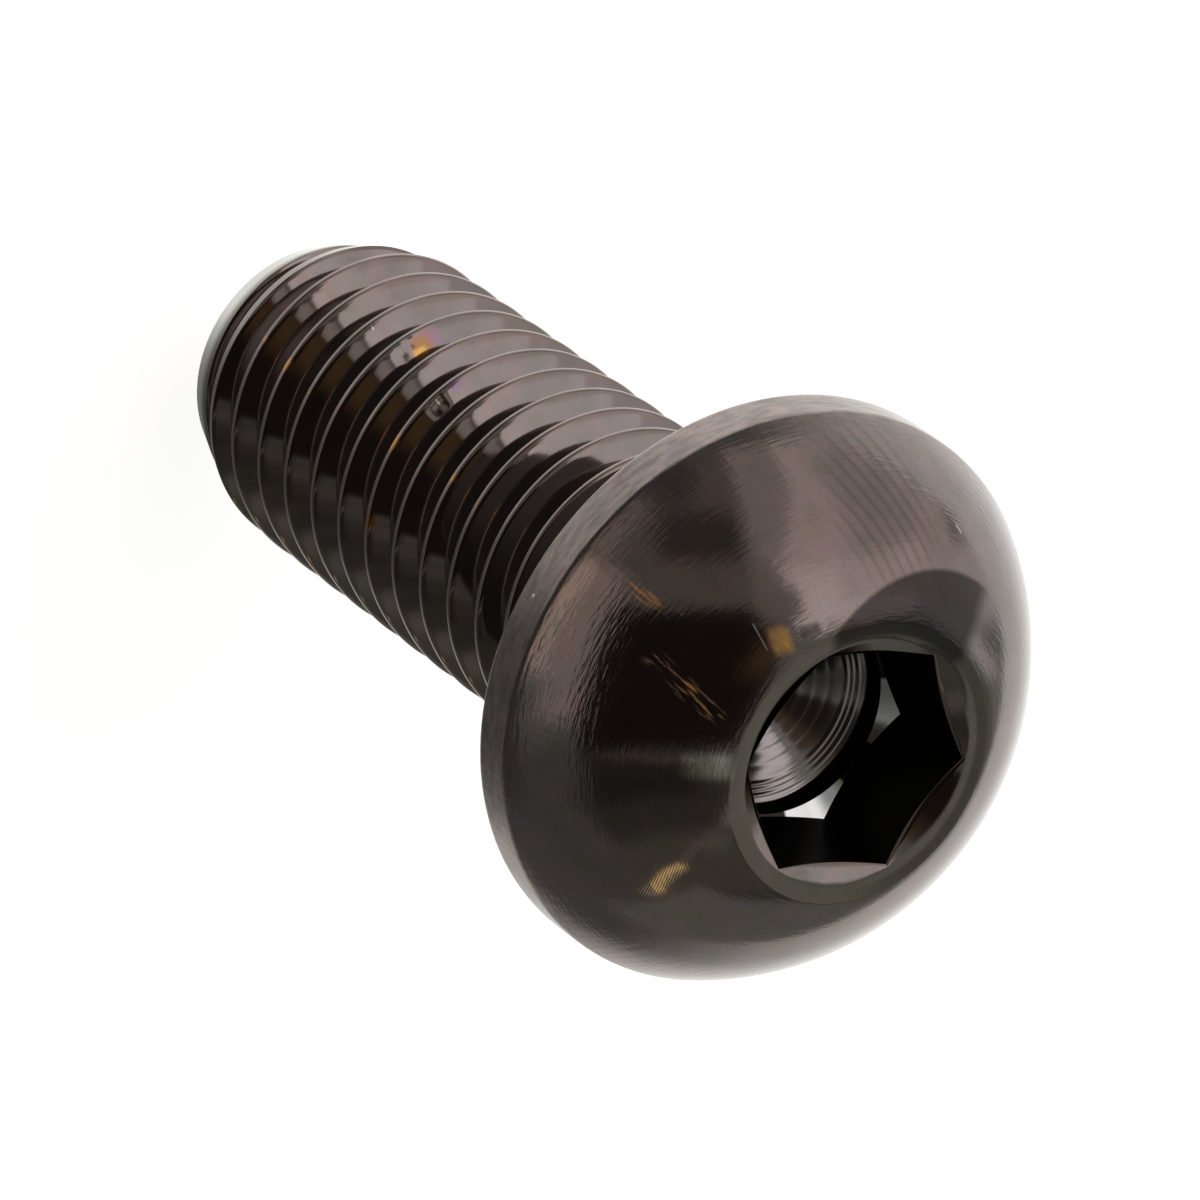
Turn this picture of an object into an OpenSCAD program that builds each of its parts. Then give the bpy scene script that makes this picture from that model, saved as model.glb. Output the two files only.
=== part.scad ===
// Button head screw that holds a brake disc to its hub.
// One piece of steel: a domed head with a hexagon socket on a fully threaded shank.
// Millimetres. The screw stands on its tip: the origin is the centre of the tip face, +Z runs to the head.

/* [Head] */
// Diameter of the head over its rim
head_d = 14; // [12.5:0.1:16]
// Height of the head over its bearing face
head_h = 5; // [4.6:0.1:6.5]
// Height of the upright land round the rim, up to where the dome would meet it
rim_h = 1.15; // [0.8:0.05:1.8]
// Diameter of the crown, where the dome ends round the socket's mouth
crown_d = 6.75; // [6:0.05:8]
// Width of the lip between the crown's edge and the socket's mouth
crown_lip = 0.175; // [0.05:0.025:0.4]
// Radius that blends the rim into the dome
rim_blend_r = 0.4; // [0.1:0.05:0.5]
// Radius of the rim's lower edge
rim_edge_r = 0.2; // [0.05:0.05:0.4]
// Radius that rolls the dome over into the socket's mouth, as far as the crown has room for it
crown_blend_r = 0.7; // [0.1:0.05:1]

/* [Socket] */
// Width of the hexagon across its flats
hex_af = 5.1; // [4:0.05:5.4]
// Depth of the hexagon below the crown
hex_depth = 2.9; // [2:0.1:3.2]
// Included angle of the countersink
mouth_angle = 120; // [90:5:130]
// Diameter of the pilot hole that the hexagon was broached over
pilot_d = 5; // [3:0.05:5]
// Depth of the pilot hole's wall below the hexagon's floor
pilot_wall_h = 0.7; // [0.3:0.1:1.2]
// Included angle of the drill point at the bottom of the pilot hole
drill_angle = 118; // [100:1:140]

/* [Shank] */
// Length of the shank from the bearing face to the tip
shank_l = 19.5; // [14:0.5:40]
// Diameter of the plain neck under the head
neck_d = 7.2; // [7.1:0.05:7.6]
// Length of the neck
neck_l = 1.2; // [0.8:0.1:3]
// Radius of the fillet between the neck and the bearing face
neck_fillet_r = 0.45; // [0.4:0.05:0.6]

/* [Thread] */
// Diameter over the thread's crests
thread_d = 7.88; // [7.76:0.01:7.98]
// Pitch of the thread, right handed
pitch = 1.25; // [0.75:0.25:1.25]
// Turn, about the axis, at which a crest passes the tip face
thread_start_a = 146; // [0:1:359]
// Length over which the thread fades into the neck
runout_l = 1.2; // [0.8:0.1:2]
// Step from the neck down to the end of the thread
neck_step = 0.1; // [0.05:0.01:0.15]

/* [Tip] */
// Diameter of the flat tip face
tip_d = 6.3; // [5:0.1:6.8]
// Length over which the crests taper down to the tip face
tip_taper_l = 2.2; // [1:0.1:3]

/* [Hidden] */
$fn = 96;
finish_colour = [0.24, 0.22, 0.22];
// Flat sides round one turn of the thread
turn_steps = 36;
// A metric profile, as parts of the pitch: depth, crest flat and root flat
depth_share = 0.6134;
thread_depth = depth_share * pitch;
crest_flat = pitch / 8;
root_flat = pitch / 4;
// Turns of the helix below the tip face, and turns in all beyond the thread's own length
turns_below = 2.5;
turns_spare = 2.7;

head_r = head_d / 2;
crown_r = crown_d / 2;
mouth_r = crown_r - crown_lip;
neck_r = neck_d / 2;
// The dome is a sphere on the axis through the rim's edge and the crown's edge
dome_z = (head_r ^ 2 + rim_h ^ 2 - crown_r ^ 2 - head_h ^ 2) / (2 * (rim_h - head_h));
dome_r = sqrt(head_r ^ 2 + (rim_h - dome_z) ^ 2);
// The blend touches the land and the dome from inside
blend_x = head_r - rim_blend_r;
blend_z = dome_z + sqrt((dome_r - rim_blend_r) ^ 2 - blend_x ^ 2);
blend_a = atan2(blend_z - dome_z, blend_x);
// The crown's roll touches the dome and the top from inside, and ends at the socket's mouth
crown_gap = dome_r - (head_h - dome_z);
crown_blend = min(crown_blend_r, (crown_r ^ 2 - mouth_r ^ 2) / (2 * crown_gap));
roll_x = sqrt(crown_r ^ 2 - 2 * crown_blend * crown_gap);
roll_z = head_h - crown_blend;
roll_a = atan2(roll_x, roll_z - dome_z);

crest_r = thread_d / 2;
root_r = crest_r - thread_depth;
tip_r = tip_d / 2;
thread_end_z = shank_l - neck_l;
thread_end_r = neck_r - neck_step;

// Sum of a few sizes, long enough to pass through the whole screw
beyond = shank_l + head_h + head_d;

// Outline of the head's half section, with z = 0 on the bearing face
module head_outline() {
    difference() {
        intersection() {
            square([head_r, head_h]);
            translate([0, dome_z]) circle(dome_r);
        }
        // blend of the land into the dome
        difference() {
            polygon([
                [blend_x, blend_z],
                [head_r + rim_blend_r, blend_z],
                [head_r + rim_blend_r, blend_z + 2 * rim_blend_r * tan(blend_a)],
                [blend_x + 2 * rim_blend_r, blend_z + 2 * rim_blend_r * tan(blend_a)]
            ]);
            translate([blend_x, blend_z]) circle(rim_blend_r);
        }
        // roll of the dome into the socket's mouth
        difference() {
            polygon([
                [roll_x, roll_z],
                [roll_x, roll_z + 2 * crown_blend],
                [roll_x + 2 * crown_blend * tan(roll_a), roll_z + 2 * crown_blend]
            ]);
            translate([roll_x, roll_z]) circle(crown_blend);
        }
        // rounded lower edge of the rim
        difference() {
            translate([head_r - rim_edge_r, 0]) square(rim_edge_r);
            translate([head_r - rim_edge_r, rim_edge_r]) circle(rim_edge_r);
        }
    }
}

// Half section of the neck, with its fillet up to the bearing face
module neck_outline() {
    translate([0, -neck_l]) square([neck_r, neck_l]);
    difference() {
        translate([neck_r, -neck_fillet_r]) square(neck_fillet_r);
        translate([neck_r + neck_fillet_r, -neck_fillet_r]) circle(neck_fillet_r);
    }
}

module head_and_neck() {
    translate([0, 0, shank_l]) {
        rotate_extrude() head_outline();
        rotate_extrude() neck_outline();
    }
}

// Hexagon, countersunk mouth and drilled pilot hole, as one cutter
module socket() {
    hex_floor_z = -hex_depth;
    pilot_z = hex_floor_z - pilot_wall_h;
    mouth_h = (mouth_r - pilot_d / 2) / tan(mouth_angle / 2);
    point_h = (pilot_d / 2) / tan(drill_angle / 2);
    translate([0, 0, shank_l + head_h]) {
        translate([0, 0, hex_floor_z]) cylinder(h = hex_depth + head_h, d = hex_af / cos(30), $fn = 6);
        translate([0, 0, -mouth_h]) cylinder(h = mouth_h, r1 = pilot_d / 2, r2 = mouth_r);
        translate([0, 0, pilot_z]) cylinder(h = -pilot_z, d = pilot_d);
        translate([0, 0, pilot_z - point_h]) cylinder(h = point_h, d1 = 0, d2 = pilot_d);
    }
}

// Largest radius at a height: tapered at the tip, and faded down to the neck
function crest_limit(z) =
    min(
        crest_r,
        tip_r + z * (crest_r - tip_r) / tip_taper_l,
        max(thread_end_r, thread_end_r + (thread_end_z - z) * (crest_r - thread_end_r) / runout_l)
    );

// Smallest radius at a height: the groove rises to the neck at its end
function root_limit(z) =
    root_r + (thread_end_r - root_r) * min(1, max(0, 1 - (thread_end_z - z) / runout_l));

// A point of the thread at a turn and a height, for a radius of its profile
function thread_point(turn, z, r) =
    let (limited = min(max(r, root_limit(z)), crest_limit(z)))
    [limited * cos(turn), limited * sin(turn), z];

// The thread is one profile of crest and groove, carried round the axis in flat steps.
// It starts below the tip face and ends inside the neck, where it is cut or covered.
module thread() {
    first_turn = thread_start_a - 360 * turns_below;
    last_turn = first_turn + 360 * (thread_end_z / pitch + turns_spare);
    steps = ceil((last_turn - first_turn) / 360 * turn_steps);
    profile = [
        [-crest_flat / 2, crest_r],
        [crest_flat / 2, crest_r],
        [(pitch - root_flat) / 2, root_r],
        [(pitch + root_flat) / 2, root_r]
    ];
    sides = len(profile);
    // crest height at a step: it passes the tip face at thread_start_a
    function crest_z(step) = pitch * ((first_turn - thread_start_a) / 360 + step / turn_steps);
    function step_turn(step) = first_turn + step * 360 / turn_steps;
    points = [
        for (step = [0:steps + turn_steps], p = profile)
            thread_point(step_turn(step), crest_z(step) + p[0], p[1])
    ];
    low_cap = len(points);
    high_cap = low_cap + 1;
    cap_points = [
        [0, 0, crest_z(0) + pitch / 2],
        [0, 0, crest_z(steps) + pitch / 2]
    ];
    // index of a point, where the profile's end is the same profile's start one turn on
    function at(step, i) = i < sides ? step * sides + i : (step + turn_steps) * sides;
    wall = [
        for (step = [0:steps - 1], i = [0:sides - 1])
            each [
                [at(step, i), at(step, i + 1), at(step + 1, i)],
                [at(step + 1, i), at(step, i + 1), at(step + 1, i + 1)]
            ]
    ];
    low_faces = [
        for (step = [0:turn_steps - 1]) [low_cap, at(step, 0), at(step + 1, 0)],
        for (i = [0:sides - 1]) [low_cap, at(0, i + 1), at(0, i)]
    ];
    high_faces = [
        for (step = [0:turn_steps - 1]) [high_cap, at(steps + step + 1, 0), at(steps + step, 0)],
        for (i = [0:sides - 1]) [high_cap, at(steps, i), at(steps, i + 1)]
    ];
    intersection() {
        polyhedron(concat(points, cap_points), concat(wall, low_faces, high_faces));
        translate([-head_d, -head_d, 0]) cube([2 * head_d, 2 * head_d, beyond]);
    }
}

module screw() {
    color(finish_colour)
    difference() {
        union() {
            head_and_neck();
            thread();
        }
        socket();
    }
}

screw();
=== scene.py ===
import math

import bmesh
import bpy
import numpy as np
from mathutils import Matrix, Vector


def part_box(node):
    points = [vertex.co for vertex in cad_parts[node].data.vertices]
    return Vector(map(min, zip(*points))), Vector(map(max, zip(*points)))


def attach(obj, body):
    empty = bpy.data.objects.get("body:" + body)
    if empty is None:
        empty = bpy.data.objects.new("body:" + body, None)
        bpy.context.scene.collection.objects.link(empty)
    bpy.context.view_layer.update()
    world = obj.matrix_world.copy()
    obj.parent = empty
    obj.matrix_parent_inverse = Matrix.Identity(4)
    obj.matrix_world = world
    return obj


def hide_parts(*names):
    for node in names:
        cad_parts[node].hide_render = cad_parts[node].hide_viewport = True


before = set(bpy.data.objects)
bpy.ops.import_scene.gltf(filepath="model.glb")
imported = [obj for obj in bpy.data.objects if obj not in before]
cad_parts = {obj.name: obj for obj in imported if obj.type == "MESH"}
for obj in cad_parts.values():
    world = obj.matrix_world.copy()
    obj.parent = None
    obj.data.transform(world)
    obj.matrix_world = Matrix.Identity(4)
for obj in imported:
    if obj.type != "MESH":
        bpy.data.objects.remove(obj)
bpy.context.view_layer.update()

# Screw blank: one piece of steel, cold headed with a domed button head, then turned on the rim
# and round the socket. Every ring of the surface has the same number of points round the axis,
# so that head, socket, thread and tip join into one closed skin.
mm = 0.001
low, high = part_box("screw")
head_r = high.x / mm
screw_h = high.z / mm
head_h = 5.0
rim_h = 1.15
crown_r = 3.375
rim_blend_r = 0.4
rim_edge_r = 0.2
neck_r = 3.6
neck_l = 1.2
neck_fillet_r = 0.45
neck_step = 0.1
shank_l = screw_h - head_h
even_columns = 144
even_turn = np.arange(even_columns) * 2 * np.pi / even_columns
# Between these two turns the points lie twice as close, for the pits in the thread
close_start, close_end = math.radians(236), math.radians(260)
is_close = (even_turn > close_start) & (even_turn < close_end)
turn = np.sort(np.concatenate([even_turn, even_turn[is_close] + np.pi / even_columns]))
columns = len(turn)


def arc(centre, radius, start, end, steps):
    """Points of a circular arc: centre plus radius times cosine and sine, at even steps of the angle."""
    angle = np.linspace(start, end, steps)
    return np.stack([centre[0] + radius * np.cos(angle), centre[1] + radius * np.sin(angle)], axis=1)


def straight(start, end, steps):
    """Points of a straight line, at even steps from its start to its end."""
    return np.linspace(start, end, steps)


def carried_round(outline):
    """Rings of a half section carried round the axis: the same radius and height at every turn."""
    points = np.concatenate(outline)
    return np.repeat(points[:, None, :], columns, axis=1)


# The dome is a sphere on the axis through the rim's edge and the crown's edge
dome_z = (head_r**2 + rim_h**2 - crown_r**2 - head_h**2) / (2 * (rim_h - head_h))
dome_r = math.hypot(head_r, rim_h - dome_z)
blend_x = head_r - rim_blend_r
blend_z = dome_z + math.sqrt((dome_r - rim_blend_r) ** 2 - blend_x**2)
blend_a = math.atan2(blend_z - dome_z, blend_x)
# Next to the socket the dome rolls over on a smaller radius, which touches the dome and the top from inside
roll_r = 0.3
roll_x = math.sqrt(crown_r**2 - 2 * roll_r * (dome_r - head_h + dome_z))
roll_z = head_h - roll_r
roll_a = math.atan2(roll_z - dome_z, roll_x)
thread_end_z = shank_l - neck_l
thread_end_r = neck_r - neck_step
bearing_r = neck_r + neck_fillet_r
rim_foot_r = head_r - rim_edge_r
head_rings = carried_round([
    straight((thread_end_r, thread_end_z), (neck_r, thread_end_z + 0.05), 3),
    arc((bearing_r, shank_l - neck_fillet_r), neck_fillet_r, np.pi, np.pi / 2, 8),
    straight((bearing_r + 0.4, shank_l), (rim_foot_r - 0.4, shank_l), 4),
    arc((rim_foot_r, shank_l + rim_edge_r), rim_edge_r, -np.pi / 2, 0, 7),
    straight((head_r, shank_l + rim_edge_r + 0.1), (head_r, shank_l + blend_z - 0.05), 5),
    arc((blend_x, shank_l + blend_z), rim_blend_r, 0, blend_a, 9),
    arc((0, shank_l + dome_z), dome_r, blend_a + 0.02, roll_a - 0.01, 44),
])

# Socket: a hexagon broached over a drilled pilot hole, with a countersink turned at its mouth.
# The broach leaves its floor as a thin ring with six corners, and the drill its turning rings.
hex_af = 5.1
hex_depth = 2.9
mouth_r = 3.2
mouth_slope = math.tan(math.radians(30))
mouth_soft = 0.2
pilot_r = 2.5
pilot_wall_h = 0.7
drill_slope = 1 / math.tan(math.radians(59))
hex_r = hex_af / 2 / np.cos((turn % (np.pi / 3)) - np.pi / 6)
hex_floor_z = screw_h - hex_depth
pilot_z = hex_floor_z - pilot_wall_h


def smooth_min(a, b, reach):
    """The lesser of two values, with the corner between them rounded over a reach of their difference."""
    near = np.clip(1 - np.abs(a - b) / reach, 0, 1)
    return np.minimum(a, b) - near**2 * reach / 4


def between(inner, outer, steps):
    """Rings between two rings: points at even shares of the straight line from one to the other."""
    share = np.linspace(0, 1, steps)[:, None, None]
    return inner * (1 - share) + outer * share


def ring(radius, height):
    """One ring of radius and height, either of which may change with the turn."""
    return np.stack(np.broadcast_arrays(radius + 0 * turn, height + 0 * turn), axis=1)


def turning_rings(radius):
    """Height of the drill's turning rings: waves of the radius, and a few deeper ones close to the wall."""
    return (
        0.0025 * np.sin(2 * np.pi * radius / 0.23)
        + 0.0018 * np.sin(2 * np.pi * radius / 0.131 + 1.0)
        + 0.0022 * np.sin(2 * np.pi * radius / 0.105) * np.clip((radius - 1.95) / 0.15, 0, 1)
    )


# The crown rolls over from the dome into the countersink
crown_rows = np.linspace(roll_x + roll_r * math.cos(roll_a), 2.99, 32)
rolled_z = shank_l + roll_z + np.sqrt(roll_r**2 - np.maximum(crown_rows - roll_x, 0) ** 2)
cone_z = screw_h - (mouth_r - crown_rows) * mouth_slope
lip_lift = 0.02
crown_z = np.minimum(rolled_z, smooth_min(rolled_z, cone_z, mouth_soft) + lip_lift)
crown_rings = carried_round([np.stack([crown_rows, crown_z], axis=1)])
cone_top = crown_rings[-1]
edge_break = 0.035
hex_edge_in = ring(hex_r + edge_break, cone_top[0, 1] - (cone_top[0, 0] - hex_r - edge_break) * mouth_slope)
hex_edge_down = ring(hex_r, cone_top[0, 1] - (cone_top[0, 0] - hex_r) * mouth_slope - edge_break)
# The broach's floor slopes a little down to the pilot hole
floor_slope = math.tan(math.radians(30))
floor_drop = 0.11
hex_foot = ring(hex_r, hex_floor_z - floor_drop + (hex_r - pilot_r) * floor_slope)
pilot_edge = ring(pilot_r, hex_floor_z - floor_drop)
pilot_foot = ring(pilot_r, pilot_z)
drill_r = np.concatenate([np.linspace(pilot_r, 2.0, 40, endpoint=False), np.linspace(2.0, 0, 40)])
ring_start_r = 0.3
ring_fade = np.clip(drill_r / ring_start_r, 0, 1)
drill_z = pilot_z - (pilot_r - drill_r) * drill_slope + turning_rings(drill_r) * ring_fade
mouth_rows = np.concatenate([between(cone_top, hex_edge_in, 6)[1:], hex_edge_down[None]])
wall_rows = between(hex_edge_down, hex_foot, 9)[1:]
floor_rows = between(hex_foot, pilot_edge, 4)[1:]
pilot_rows = between(pilot_edge, pilot_foot, 6)[1:]
drill_rows = carried_round([np.stack([drill_r, drill_z], axis=1)])[1:]
socket_rings = np.concatenate([mouth_rows, wall_rows, floor_rows, pilot_rows, drill_rows])
# How each band of faces was left: plated, drilled, bare on the broach's floor, or dull on the walls,
# painted dark as shade
plated, drilled, bare_floor, dull_wall_painted_shade = 0.0, 0.25, 0.5, 1.0
head_bands = len(head_rings) + len(crown_rings) - 1
socket_bands = np.concatenate([
    np.full(len(mouth_rows), plated),
    np.full(len(wall_rows), dull_wall_painted_shade),
    np.full(len(floor_rows), bare_floor),
    np.full(len(pilot_rows), dull_wall_painted_shade),
    np.full(len(drill_rows), drilled),
])

# Thread: rolled, right handed, 1.25 mm pitch, tapered at the tip and faded out at the neck.
# Rolling leaves straight flanks at 60 degrees, polished crests with rounded edges and round roots.
pitch = 1.25
crest_r = 3.94
thread_depth = 0.6134 * pitch
root_r = crest_r - thread_depth
crest_half = 0.066
root_half = pitch / 8
start_turn = math.radians(146)
runout_l = 1.2
tip_r = 3.15
tip_taper_l = 2.2
flank_slope = math.tan(math.radians(60))
crest_round = 0.08
root_round = 0.1


def crest_limit(z):
    """Largest radius at a height: it rises along the tip's taper and falls along the run-out."""
    taper = tip_r + z * (crest_r - tip_r) / tip_taper_l
    runout = thread_end_r + (thread_end_z - z) * (crest_r - thread_end_r) / runout_l
    return np.minimum(np.minimum(crest_r, taper), np.maximum(runout, thread_end_r))


def root_limit(z):
    """Smallest radius at a height: the groove's depth, filled up to the neck along the run-out."""
    return root_r + (thread_end_r - root_r) * np.clip(1 - (thread_end_z - z) / runout_l, 0, 1)


def thread_radius(z, crest_z):
    """Radius of the thread: flanks that fall from the nearest crest, cut off at crest and root
    with rounded corners."""
    off = np.abs((z - crest_z + pitch / 2) % pitch - pitch / 2)
    flank = crest_r + (crest_half - off) * flank_slope
    crest = np.minimum(smooth_min(flank, crest_limit(z), crest_round), crest_limit(z))
    return np.minimum(-smooth_min(-crest, -root_limit(z), root_round), np.maximum(crest_limit(z), 0))


# Rows of one pitch, as steps off the crest: close together where the profile bends
turns = np.arange(-2, int(thread_end_z / pitch) + 3)
crest_z = pitch * (turns[:, None] + (turn[None, :] - start_turn) / (2 * np.pi))
crest_edge_most = 0.36
crest_cut = crest_r - crest_limit(np.clip(crest_z, 0, thread_end_z))
crest_edge = np.minimum(crest_half + crest_cut / flank_slope, crest_edge_most)
root_edge = pitch / 2 - root_half
crest_share = np.array([0.0, 0.35, 0.7, 1.0])
flank_share = np.array([0.06, 0.14, 0.28, 0.46, 0.66, 0.84, 0.94])
root_share = np.array([0.0, 0.3, 0.65, 1.0])
half_rows = np.concatenate([
    crest_share[:, None, None] * crest_edge,
    crest_edge + flank_share[:, None, None] * (root_edge - crest_edge),
    root_edge + root_share[:, None, None] * (pitch / 2 - root_edge) + 0 * crest_edge,
])
steps_off = np.concatenate([-half_rows[:0:-1], half_rows[:-1]])
rows_per_turn = len(steps_off)
thread_z = np.clip(crest_z + steps_off, 0, thread_end_z).transpose(1, 0, 2).reshape(-1, columns)
thread_crest_z = np.broadcast_to(crest_z, steps_off.shape).transpose(1, 0, 2).reshape(-1, columns)
thread_r = thread_radius(thread_z, thread_crest_z)
# Small pits in the flanks, just inside the crests: turn, height and depth
pit_length, pit_height = 0.11, 0.08
for pit_turn, pit_z, pit_depth in [
    (-118.1, 6.74, 0.035),
    (-113.8, 6.79, 0.035),
    (-107.5, 9.28, 0.045),
    (-103.8, 9.30, 0.03),
]:
    turn_off = (turn - math.radians(pit_turn) + np.pi) % (2 * np.pi) - np.pi
    across, upward = turn_off * crest_r / pit_length, (thread_z - pit_z) / pit_height
    thread_r = thread_r - pit_depth * np.exp(-(across**2) - upward**2)
thread_rings = np.stack([thread_r, thread_z], axis=2)

# Tip: the flat end of the blank, where the thread starts in a short taper.
tip_rings = carried_round([straight((0, 0), (tip_r, 0), 6)])


def quads(rings, shift=0):
    """Corners of the faces between neighbouring rings; past the last column a row goes on
    shift rows further up."""
    rows = len(rings)
    row = np.arange(rows - 1)[:, None]
    column = np.arange(columns)[None, :]
    wrapped = column + 1 == columns
    next_column = np.where(wrapped, 0, column + 1)
    next_row = np.minimum(row + np.where(wrapped, shift, 0), rows - 1)
    next_row_up = np.minimum(row + 1 + np.where(wrapped, shift, 0), rows - 1)
    corners = np.stack([
        row * columns + column,
        next_row * columns + next_column,
        next_row_up * columns + next_column,
        (row + 1) * columns + column,
    ], axis=-1)
    return corners.reshape(-1, 4)


def welded_mesh(name, blocks):
    """One mesh of several blocks of rings: radius and height become points round the axis, and
    points that coincide are merged, which closes the poles and joins the blocks. Each band of
    faces keeps its mark."""
    points, faces, marks, count = [], [], [], 0
    for rings, shift, bands in blocks:
        x = rings[..., 0] * np.cos(turn)
        y = rings[..., 0] * np.sin(turn)
        points.append(np.stack([x, y, rings[..., 1]], axis=-1).reshape(-1, 3) * mm)
        faces.append(quads(rings, shift) + count)
        marks.append(np.repeat(bands, columns))
        count += rings.shape[0] * columns
    mesh = bpy.data.meshes.new(name)
    mesh.from_pydata(np.concatenate(points), [], np.concatenate(faces))
    mark = mesh.attributes.new("socket_part", "FLOAT", "FACE")
    mark.data.foreach_set("value", np.concatenate(marks).astype(np.float32))
    skin = bmesh.new()
    skin.from_mesh(mesh)
    bmesh.ops.remove_doubles(skin, verts=skin.verts[:], dist=0.0004 * mm)
    bmesh.ops.dissolve_degenerate(skin, dist=0.0002 * mm, edges=skin.edges[:])
    skin.to_mesh(mesh)
    skin.free()
    mesh.shade_smooth()
    mesh.set_sharp_from_angle(angle=math.radians(32))
    return mesh


head_and_socket = np.concatenate([head_rings, crown_rings, socket_rings])
head_marks = np.concatenate([np.full(head_bands, plated), socket_bands])
screw_mesh = welded_mesh("finished_screw", [
    (tip_rings, 0, np.full(len(tip_rings) - 1, plated)),
    (thread_rings, rows_per_turn, np.full(len(thread_rings) - 1, plated)),
    (head_and_socket, 0, head_marks),
])
screw = bpy.data.objects.new("finished_screw", screw_mesh)
bpy.context.scene.collection.objects.link(screw)


# Plating: a thin, dark, warm layer over the polished steel, mirror bright on the rolled thread
# and satin on the head, where polishing left fine rings round the axis.
class Field:
    """A value in a node tree: arithmetic on it adds Math nodes, and node() adds any other node."""

    def __init__(self, tree, socket=None):
        self.tree = tree
        self.socket = socket

    def node(self, kind, inputs=None, settings=None, output=0):
        """Adds a node: its settings are set first, then the values or links of its sockets."""
        made = self.tree.nodes.new(kind)
        for name, setting in (settings or {}).items():
            setattr(made, name, setting)
        for name, value in (inputs or {}).items():
            if isinstance(value, Field):
                self.tree.links.new(value.socket, made.inputs[name])
            else:
                made.inputs[name].default_value = value
        return Field(self.tree, made.outputs[output]) if made.outputs else None

    def math(self, operation, *values):
        """Adds a Math node on this value and any others."""
        inputs = dict(enumerate((self, *values)))
        return self.node("ShaderNodeMath", inputs, {"operation": operation})

    def __add__(self, other):
        return self.math("ADD", other)

    __radd__ = __add__

    def __mul__(self, other):
        return self.math("MULTIPLY", other)

    __rmul__ = __mul__

    def __sub__(self, other):
        return self.math("SUBTRACT", other)

    def __rsub__(self, other):
        return self.math("MULTIPLY", -1).math("ADD", other)

    def __truediv__(self, other):
        return self.math("DIVIDE", other)

    def step(self, start, end):
        """A smooth step from 0 to 1 as this value goes from start to end."""
        inputs = {"Value": self, "From Min": start, "From Max": end}
        return self.node("ShaderNodeMapRange", inputs, {"interpolation_type": "SMOOTHSTEP"})

    def blend(self, first, second):
        """A colour that goes from the first to the second as this value goes from 0 to 1."""
        settings = {"data_type": "RGBA"}
        return self.node("ShaderNodeMix", {"Factor": self, 6: first, 7: second}, settings, output=2)

    def parts(self):
        """The three parts of a vector."""
        split = self.node("ShaderNodeSeparateXYZ", {"Vector": self})
        outputs = split.socket.node.outputs
        return [Field(self.tree, outputs[name]) for name in "XYZ"]


def new_material(name):
    """An empty node material, and a field to start its nodes from."""
    material = bpy.data.materials.new(name)
    material.use_nodes = True
    material.node_tree.nodes.clear()
    return material, Field(material.node_tree)


plating, start = new_material("dark_plating")
place = start.node("ShaderNodeTexCoord", output=3)
x, y, z = (part / mm for part in place.parts())
radius = (x * x + y * y).math("SQRT")


def noise(vector, scale, detail):
    """Noise about 0 that changes over the length 1 / scale."""
    return start.node("ShaderNodeTexNoise", {"Vector": vector, "Scale": scale, "Detail": detail}) - 0.5


def vector(a, b, c):
    """A vector of three values."""
    return start.node("ShaderNodeCombineXYZ", {"X": a, "Y": b, "Z": c})


def metal(colour, rough, relief=None, metallic=1.0):
    """A metal of a colour and a roughness, which may have a fine relief."""
    inputs = {"Base Color": colour, "Metallic": metallic, "Roughness": rough}
    if relief is not None:
        inputs["Normal"] = start.node("ShaderNodeBump", {"Height": relief, "Strength": 1.0, "Distance": mm})
    return start.node("ShaderNodeBsdfPrincipled", inputs)


cloud = noise(place, 300, 2)
mottle = noise(place, 1300, 2)
plain = cloud.step(-0.15, 0.15).blend((0.305, 0.248, 0.225, 1), (0.285, 0.248, 0.244, 1))
plain = (mottle.step(0.02, 0.18) * 0.7).blend(plain, (0.335, 0.262, 0.262, 1))
plain = ((mottle * -1).step(0.02, 0.18) * 0.7).blend(plain, (0.25, 0.232, 0.205, 1))


# Finish of the head: polishing lines run round the axis, chatter runs across the rim,
# ripples lie on one side of the dome with painted shade in their dark lines, and amber spots,
# marks and a painted highlight are scattered near the socket.
def plan_distance(px, py):
    """Distance, seen from above, from a point."""
    return ((x - px) * (x - px) + (y - py) * (y - py)).math("SQRT")


def head_mark(begin, end, width):
    """A soft band on the head along a straight line between two points, seen from above."""
    (x0, y0), (x1, y1) = begin, end
    length = math.hypot(x1 - x0, y1 - y0)
    dx, dy = (x1 - x0) / length, (y1 - y0) / length
    along = ((x - x0) * dx + (y - y0) * dy - length / 2).math("ABSOLUTE")
    across = ((y - y0) * dx - (x - x0) * dy).math("ABSOLUTE")
    inside = 1 - across.step(width * 0.2, width * 0.6)
    return inside * (1 - along.step(length / 2 - width * 0.1, length / 2 + width * 0.4))


lines = noise(vector(radius * 12 - z * 6, x / radius * 12, y / radius * 12), 1, 2)
chatter = noise(vector(radius * 1.2, x / radius * 40, y / radius * 40), 1, 1)
grain = noise(place, 2600, 1)
fine = noise(place, 9000, 1)
fleck = noise(vector(x * 0.3 + y * 1.9, x * 11 - y * 1.8, 0), 1, 2).step(-0.02, 0.2)
near_rim = radius.step(5.6, 6.6)
on_land = 1 - z.step(shank_l + 1.1, shank_l + 1.5)
ripple = (plan_distance(0.1, -4.8) * (2 * math.pi / 0.28) + cloud * 5).math("SINE")
ripple_mask = (1 - plan_distance(-4.95, -2.45).step(0.9, 1.8)) * (1 - on_land)
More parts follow.
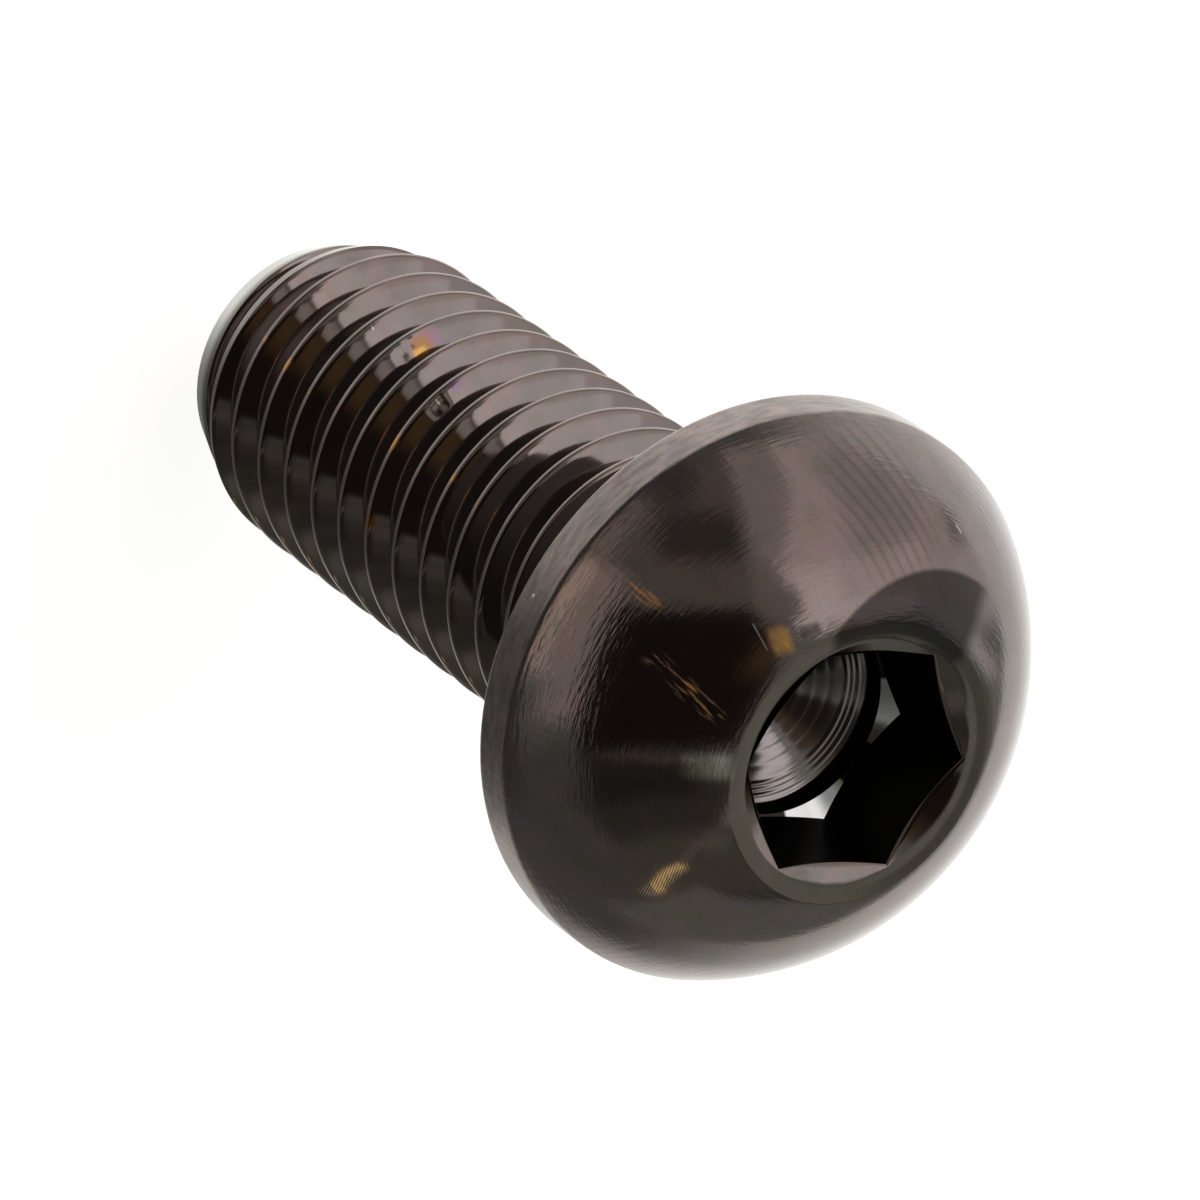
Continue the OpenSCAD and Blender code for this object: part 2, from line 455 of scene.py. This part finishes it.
# A painted dark reflection lies beside the crown, and painted shade darkens the far side of the crown
dark_reflection_side = ((x * -0.92 + y * -0.39) / radius).step(0.80, 0.87)
patch = (1 - plan_distance(-1.4, 0.6).step(3.42, 3.54)) * dark_reflection_side * radius.step(3.0, 3.2)
crown_painted_shade = radius.step(3.1, 3.2) * (1 - radius.step(3.5, 3.75)) * ((y - x * 0.6) / radius).step(0.0, 0.8)
colour = (grain.step(0.05, 0.25) * 0.5).blend(plain, (0.29, 0.232, 0.262, 1))
colour = (fine.step(0.0, 0.25) * 0.35).blend(colour, (0.22, 0.195, 0.19, 1))
colour = (lines.step(-0.05, 0.2) * on_land * 0.6).blend(colour, (0.19, 0.155, 0.14, 1))
colour = ((lines * -1).step(-0.05, 0.2) * on_land * 0.6).blend(colour, (0.38, 0.31, 0.275, 1))
# The ripples' dark lines are painted shade, standing in for the light the ripple relief would mirror
colour = (ripple.step(0.0, 0.9) * ripple_mask * 0.36).blend(colour, (0.14, 0.12, 0.115, 1))
# Painted dark reflection beside the crown, and painted shade on the crown's far side
colour = (patch * 0.81).blend(colour, (0.025, 0.022, 0.022, 1))
colour = (crown_painted_shade * 0.5).blend(colour, (0.05, 0.045, 0.042, 1))
rough = 0.12 + cloud * 0.04 + on_land * 0.06
metallic = 1.0
# Each mark: its line, width, colour, roughness, how broken it is and how much it is a film and not metal
for begin, end, width, tint, dullness, broken, film in [
    ((-1.62, -3.50), (-1.92, -3.22), 0.30, (0.12, 0.10, 0.095, 1), 0.12, 0.0, 0.0),
    ((-1.30, -3.92), (-1.08, -3.66), 0.55, (1.0, 0.55, 0.14, 1), 0.30, 0.3, 0.6),
    ((0.78, -5.42), (1.02, -3.95), 0.50, (0.95, 0.48, 0.16, 1), 0.45, 1.0, 0.6),
    ((-0.18, -6.30), (-0.34, -5.55), 0.38, (0.95, 0.50, 0.22, 1), 0.45, 1.0, 0.6),
    # The pale patch is a painted highlight, brightened so that the small pale lamp glints on the dome
    ((1.83, -3.13), (2.23, -3.63), 0.72, (0.9, 0.88, 0.76, 1), 0.10, 0.0, 0.0),
    ((-1.13, -4.40), (-0.85, -3.93), 0.045, (0.45, 0.44, 0.45, 1), 0.40, 0.0, 0.0),
    ((-5.63, -0.36), (-5.56, -0.18), 0.06, (0.6, 0.55, 0.65, 1), 0.25, 0.0, 0.0),
]:
    mask = head_mark(begin, end, width) * (1 - broken * (1 - fleck) if broken else 1.0)
    colour = mask.blend(colour, tint)
    rough = rough * (1 - mask) + mask * dullness
    metallic = metallic - mask * film if film else metallic
# Fine bright strokes lie side by side on one side of the dome, a painted glint of the golden lamp below,
# and a speck on the land
painted_glint_comb = ((x * 12.8 - y * 16.3) * (2 * math.pi)).math("SINE").step(0.1, 0.8)
painted_glint_comb_mask = head_mark((5.12, -1.63), (4.2, -1.9), 0.42) + head_mark((4.2, -1.9), (3.52, -2.19), 0.3) * 0.4
colour = (painted_glint_comb_mask * painted_glint_comb).blend(colour, (0.98, 0.84, 0.66, 1))
speck = head_mark((1.20, -6.89), (1.24, -6.88), 0.1) * z.step(20.0, 20.03) * (1 - z.step(20.07, 20.1))
colour = speck.blend(colour, (0.9, 0.88, 0.85, 1))
# On one side the rim has fewer rings and more chatter
chatter_side = ((x * 0.98 - y * 0.17) / radius).step(0.6, 0.95)
line_depth = radius.step(3.1, 3.6) * (0.002 + cloud.step(-0.1, 0.2) * 0.003)
line_depth = line_depth + radius.step(5.0, 6.4) * (1 - chatter_side * 0.7) * 0.003
relief = lines * line_depth + chatter * near_rim * (1 + chatter_side) * 0.003
relief = relief + grain * 0.0016 + ripple * ripple_mask * 0.0006
head_finish = metal(colour, rough, relief, metallic)


# Finish of the shank: smooth from the rolling, with a few stains; the bearing face is dull and painted dark
# as shade under the head, and the taper at the tip is worn bright.
def thread_mark(angle, height, length, tall):
    """A soft patch on the thread round a turn about the axis and a height."""
    cos, sin = math.cos(math.radians(angle)), math.sin(math.radians(angle))
    along = (y * cos - x * sin).math("ABSOLUTE")
    off = (z - height).math("ABSOLUTE")
    facing = (x * cos + y * sin).step(0.5, 1.0)
    return facing * (1 - along.step(length * 0.2, length * 0.6)) * (1 - off.step(tall * 0.2, tall * 0.6))


dull_painted_shade_under_head = radius.step(4.0, 4.3) * z.step(shank_l - 0.3, shank_l - 0.1)
worn_tip = (1 - z.step(0.3, 0.8)) * radius.step(2.9, 3.1)
# Painted shade: the bearing face under the head is darkened
colour = dull_painted_shade_under_head.blend(plain, (0.09, 0.08, 0.078, 1))
colour = worn_tip.blend(colour, (0.95, 0.95, 0.90, 1))
rough = 0.07 + dull_painted_shade_under_head * 0.25
# Each stain: turn, height, length, tallness and colour
for angle, height, length, tall, tint in [
    (-127.0, 6.76, 0.60, 0.24, (0.34, 0.22, 0.27, 1)),
    (-122.5, 6.83, 0.60, 0.30, (0.42, 0.22, 0.12, 1)),
    (-120.5, 6.90, 0.42, 0.16, (0.78, 0.46, 0.14, 1)),
    (-115.0, 9.20, 0.50, 0.24, (0.29, 0.22, 0.29, 1)),
    (-57.0, 9.33, 0.45, 0.35, (0.42, 0.22, 0.10, 1)),
    (-114.5, 5.47, 0.07, 0.07, (0.70, 0.68, 0.66, 1)),
    (-40.0, 4.74, 0.10, 0.10, (0.90, 0.88, 0.85, 1)),
]:
    colour = thread_mark(angle, height, length, tall).blend(colour, tint)
# Along one line the crests show short amber streaks: a painted glint
glint_turn = math.radians(-86)
glint_cos, glint_sin = math.cos(glint_turn), math.sin(glint_turn)
painted_crest_glint = 1 - (y * glint_cos - x * glint_sin).math("ABSOLUTE").step(0.04, 0.34)
painted_crest_glint = painted_crest_glint * (y * -1).step(3.5, 3.7) * radius.step(3.84, 3.9) * (1 - z.step(16.0, 16.5))
painted_crest_glint = painted_crest_glint * noise(place, 1500, 1).step(-0.06, 0.12) * 0.8
# Painted glint: amber streaks along the crests
colour = painted_crest_glint.blend(colour, (0.80, 0.42, 0.15, 1))
rough = rough + painted_crest_glint * 0.25
thread_finish = metal(colour, rough, mottle * 0.0008)

# Finish of the socket: the broached walls are dull, and they and the floor between the corners are painted
# near black as shade in the recess; the drilled cone is nearly bare, and the corners of the broach's floor
# are bare steel, painted brighter as a painted highlight.
socket_part = start.node("ShaderNodeAttribute", settings={"attribute_name": "socket_part"}, output=2)
on_dull_wall_painted_shade = socket_part.math("GREATER_THAN", 0.75)
on_drill = socket_part.math("LESS_THAN", 0.35)
in_corner = (y.math("ARCTAN2", x) * 6).math("COSINE").step(-0.4, -0.2)
# Painted shade: the floor between the corners is near black; the bare corners are painted brighter as a
# painted highlight
colour = in_corner.blend((0.030, 0.027, 0.026, 1), (0.88, 0.88, 0.90, 1))
# Painted shade: the walls are near black
colour = on_dull_wall_painted_shade.blend(colour, (0.030, 0.027, 0.026, 1))
colour = on_drill.blend(colour, (0.40, 0.365, 0.37, 1))
socket_finish = metal(colour, 0.12 + on_dull_wall_painted_shade * 0.33 + on_drill * 0.03)

on_head = z.math("GREATER_THAN", shank_l + 0.01)
finish = start.node("ShaderNodeMixShader", {"Fac": on_head, 1: thread_finish, 2: head_finish})
in_socket = socket_part.math("GREATER_THAN", 0.1)
finish = start.node("ShaderNodeMixShader", {"Fac": in_socket, 1: finish, 2: socket_finish})
start.node("ShaderNodeOutputMaterial", {"Surface": finish})
screw_mesh.materials.append(plating)
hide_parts("screw")
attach(screw, "root")

# Camera: it looks down on the standing screw at 50 degrees with a long lens, and is turned about
# its own axis, so that the screw lies across the picture with its head low on the right.
view_aim = Vector((0.438, -2.777, 17.147)) * mm
view_distance = 238.97 * mm
view_azimuth = math.radians(0.118)
view_elevation = math.radians(49.71)
view_roll = math.radians(126.06)
focal_px = 10514
image_px = 1200
ahead = Vector((
    math.sin(view_azimuth) * math.cos(view_elevation),
    math.cos(view_azimuth) * math.cos(view_elevation),
    -math.sin(view_elevation),
))
level = ahead.cross(Vector((0, 0, 1))).normalized()
upright = level.cross(ahead)
view_right = level * math.cos(view_roll) + upright * math.sin(view_roll)
view_up = view_right.cross(ahead)
camera_data = bpy.data.cameras.new("camera")
camera_data.sensor_width = 36
camera_data.lens = camera_data.sensor_width * focal_px / image_px
camera_data.clip_start = 0.01
camera = bpy.data.objects.new("camera", camera_data)
axes = Matrix((view_right, view_up, -ahead)).transposed().to_4x4()
camera.matrix_world = Matrix.Translation(view_aim - ahead * view_distance) @ axes
bpy.context.scene.collection.objects.link(camera)
bpy.context.scene.camera = camera

# Floor: a white sheet on which the screw stands. It lies in shade to the near left of the view,
# is bright behind the screw and to its right, and its edge is a hand's breadth away.
floor_half = 0.25
floor_mesh = bpy.data.meshes.new("floor")
floor_corners = [(-floor_half, -floor_half, 0), (floor_half, -floor_half, 0)]
floor_corners += [(floor_half, floor_half, 0), (-floor_half, floor_half, 0)]
floor_mesh.from_pydata(floor_corners, [], [(0, 1, 2, 3)])
floor = bpy.data.objects.new("floor", floor_mesh)
bpy.context.scene.collection.objects.link(floor)
white_sheet, start = new_material("white_sheet")
fx, fy, _ = (part / mm for part in start.node("ShaderNodeTexCoord", output=3).parts())
reach = (fx * fx + fy * fy).math("SQRT")


def towards(angle):
    """How far a place on the floor lies towards a bearing from the screw, from -1 to 1."""
    angle = math.radians(angle)
    return (fx * math.cos(angle) + fy * math.sin(angle)) / reach


shade = towards(-36)
lit_near = 1.15 - shade.step(-0.6, 0.35) * 0.45 - shade.step(0.5, 1.0) * 0.55
lit_far = 0.13 + towards(120).step(0.0, 0.85) * 0.72
near_side = towards(-72).step(0.3, 0.7)
far = reach.step(27, 78) * (1 - near_side) + reach.step(25, 38) * near_side
lit_far = lit_far - near_side * 0.06
lit = lit_near * (1 - far) + lit_far * far
mirrored = start.node("ShaderNodeEmission", {"Color": (1, 1, 0.965, 1), "Strength": lit})
seen = start.node("ShaderNodeEmission", {"Color": (1, 1, 1, 1), "Strength": 0.88})
shaded = start.node("ShaderNodeBsdfDiffuse", {"Color": (0.8, 0.8, 0.8, 1)})
seen = start.node("ShaderNodeAddShader", {0: seen, 1: shaded})
is_camera = start.node("ShaderNodeLightPath", output=0)
surface = start.node("ShaderNodeMixShader", {"Fac": is_camera, 1: mirrored, 2: seen})
start.node("ShaderNodeOutputMaterial", {"Surface": surface})
floor_mesh.materials.append(white_sheet)

# Studio: a dim room with one large soft panel to the right of the view and a few lesser lights,
# placed by the directions in which the polished metal mirrors them.
# Each light: longitude and latitude of its middle as the camera sees it, its width and height and
# the softness of its edge, all in degrees, how far its sides lean with the latitude, and its colour.
studio_lights = [
    ("room above", 0, 62, 150, 100, 8, 0, (0.16, 0.148, 0.133)),
    ("dim corner above", -14, 63, 24, 26, 14, 0, (0.08, 0.072, 0.064)),
    ("side room", -92, -58, 84, 64, 16, 0, (0.12, 0.12, 0.108)),
    ("room below", 33, -67, 190, 46, 14, 0, (0.058, 0.057, 0.049)),
    ("foot of the room", 15, -78, 200, 24, 10, 0, (0.112, 0.113, 0.098)),
    ("pale side of the foot", 15, -70, 24, 10, 8, 0, (0.17, 0.16, 0.147)),
    ("ceiling", 75, -32, 104, 62, 4, 0.32, (0.255, 0.272, 0.228)),
    ("half lit wall", 38, 52, 36, 50, 8, 0, (0.38, 0.345, 0.32)),
    ("main panel", 84, 44, 86, 52, 8, 0.68, (0.66, 0.59, 0.56)),
    ("dim middle of the panel", 83, 42, 36, 34, 18, 0, (0.50, 0.46, 0.44)),
    ("grey beside the corner", 26, 19, 16, 20, 6, 0, (0.27, 0.24, 0.22)),
    ("panel right", 112, 12, 44, 16, 6, 0, (0.66, 0.63, 0.62)),
    ("panel corner", 46, 17, 26, 21, 4, -0.45, (0.80, 0.72, 0.67)),
    ("panel side", 71, 18.3, 44, 17.3, 3, 0, (0.74, 0.68, 0.65)),
    ("panel hot spot", 43, 16.5, 18, 15, 8, 0, (1.0, 0.88, 0.82)),
    ("panel foot", 101.5, 3.3, 17, 16, 3, -2.36, (0.69, 0.67, 0.67)),
    ("panel edge", 62, 11.9, 42, 6, 3, 0, (0.93, 0.92, 0.93)),
    ("dark patch above", -1, 39, 34, 18, 8, 0, (0.062, 0.057, 0.05)),
    ("side of the left strip", -43, 2, 13, 48, 5, 0.42, (0.42, 0.36, 0.32)),
    ("left strip", -52, 12, 10, 40, 6, 0.53, (0.78, 0.65, 0.57)),
    ("upper end of the left strip", -37, 40, 12, 24, 6, 0.5, (0.34, 0.285, 0.25)),
    ("black camera side", -7.75, -10.5, 64.5, 48, 3, 0.43, (0.018, 0.013, 0.011)),
    ("grey above the black", 28, 14, 16, 12, 4, 0, (0.25, 0.22, 0.20)),
    ("brown beside the black", 21.5, -3, 9, 12, 9, 0.6, (0.10, 0.064, 0.03)),
    ("frame of the panel", 32, 5.6, 2.6, 6, 1, 0, (0.12, 0.11, 0.105)),
    ("strip beside the frame", 29.2, 3.8, 4.4, 4.8, 1, 0.4, (0.42, 0.39, 0.365)),
    ("corner of the panel's edge", 39, 7.4, 11.4, 4.6, 1, 0, (1.02, 0.98, 0.97)),
    ("dark below the camera", -24, -43, 56, 18, 6, 0, (0.036, 0.032, 0.026)),
    ("pale streak, left half", -30, -36, 17, 1.6, 1.5, 0, (0.17, 0.145, 0.125)),
    ("pale streak, right half", -13, -38, 18, 1.6, 1.5, 0, (0.19, 0.165, 0.145)),
    ("small pale lamp", 4, -43, 9, 14, 8, 0, (0.065, 0.063, 0.054)),
    ("middle of the lamp", 3, -40, 6, 6, 5, 0, (0.105, 0.10, 0.088)),
    ("golden lamp below", -72, -80.3, 100, 2.4, 1.6, 0, (0.72, 0.53, 0.26)),
]
world = bpy.data.worlds.new("studio")
world.use_nodes = True
world.node_tree.nodes.clear()
bpy.context.scene.world = world
start = Field(world.node_tree)
direction = start.node("ShaderNodeTexCoord", output=0)


def along(axis):
    """How far a direction points along an axis: their dot product."""
    inputs = {0: direction, 1: tuple(axis)}
    return start.node("ShaderNodeVectorMath", inputs, {"operation": "DOT_PRODUCT"}, output=1)


degree = 180 / math.pi
longitude = along(view_right).math("ARCTAN2", along(-ahead)) * degree
latitude = along(view_up).math("ARCSINE") * degree


def reaches(box, lon, lat, width, height, soft, lean):
    """Whether a light reaches into a box of longitudes and latitudes."""
    half_x = width / 2 + soft + abs(lean) * (height / 2 + soft)
    half_y = height / 2 + soft
    west, east, south, north = box
    return lon + half_x > west and lon - half_x < east and lat + half_y > south and lat - half_y < north


def part_of_room(box):
    """The room as seen in one box of directions, with only the lights that reach into it."""
    light = start.node("ShaderNodeRGB")
    light.socket.default_value = (0.20, 0.212, 0.19, 1)
    for name, lon, lat, width, height, soft, lean, tint in studio_lights:
        if reaches(box, lon, lat, width, height, soft, lean):
            upward = latitude - lat
            across = longitude - lon - upward * lean if lean else longitude - lon
            inside_x = across.math("ABSOLUTE").step(width / 2 + soft / 2, width / 2 - soft / 2)
            inside_y = upward.math("ABSOLUTE").step(height / 2 + soft / 2, height / 2 - soft / 2)
            light = (inside_x * inside_y).blend(light, (*tint, 1))
    return start.node("ShaderNodeBackground", {"Color": light, "Strength": 1.0})


def past_edge(value, edge, before, after):
    """The room after an edge where a value is past that edge, and the room before it elsewhere."""
    if before is None:
        return after
    return start.node("ShaderNodeMixShader", {"Fac": value.math("GREATER_THAN", edge), 1: before, 2: after})


# The room is put together from boxes of directions, so that each ray meets only a few lights
lon_edges = [-180, -10, 36, 180]
lat_edges = [-90, -20, 90]
room = None
for west, east in zip(lon_edges, lon_edges[1:]):
    column = None
    for south, north in zip(lat_edges, lat_edges[1:]):
        column = past_edge(latitude, south, column, part_of_room((west, east, south, north)))
    room = past_edge(longitude, west, room, column)
is_camera = start.node("ShaderNodeLightPath", output=0)
backdrop = start.node("ShaderNodeBackground", {"Color": (1, 1, 1, 1), "Strength": 1.0})
surface = start.node("ShaderNodeMixShader", {"Fac": is_camera, 1: room, 2: backdrop})
start.node("ShaderNodeOutputWorld", {"Surface": surface})

# Picture: colours come out as they are written.
bpy.context.scene.view_settings.view_transform = "Standard"
